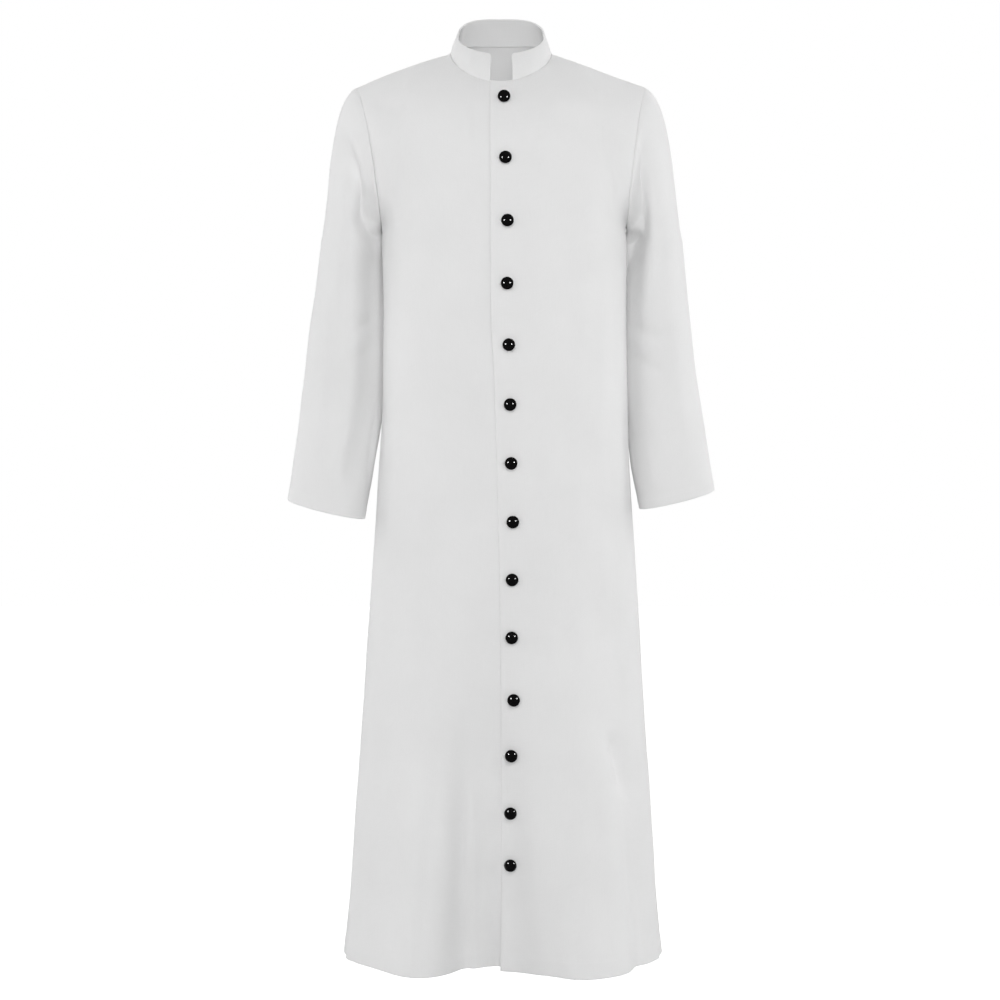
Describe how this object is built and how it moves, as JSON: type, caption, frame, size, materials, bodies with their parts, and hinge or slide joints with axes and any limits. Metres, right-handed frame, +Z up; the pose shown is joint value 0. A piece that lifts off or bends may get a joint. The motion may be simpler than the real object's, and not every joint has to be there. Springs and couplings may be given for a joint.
{
  "type": "clerical robe",
  "caption": "Long-sleeved ankle-length robe that buttons down the front, with a notched standing collar, worn shape, hollow and open at neck, cuffs and hem.",
  "frame": {"origin": "middle of the neck base, level with the side neck points, where the robe rests on its wearer's shoulders", "axes": "+Z up towards the collar, -Y out of the buttoned front, +X towards the wearer's left sleeve"},
  "size_m": [0.661, 0.3292, 1.4674],
  "materials": {
    "cloth": "plain woven, matt white",
    "button": "glossy black"
  },
  "bodies": {
    "root": {"front_right": "cloth", "front_left": "cloth", "back": "cloth", "sleeve_right": "cloth", "sleeve_left": "cloth", "collar": "cloth", "button_01": "button", "button_02": "button", "button_03": "button", "button_04": "button", "button_05": "button", "button_06": "button", "button_07": "button", "button_08": "button", "button_09": "button", "button_10": "button", "button_11": "button", "button_12": "button", "button_13": "button", "button_14": "button"}
  },
  "joints": []
}
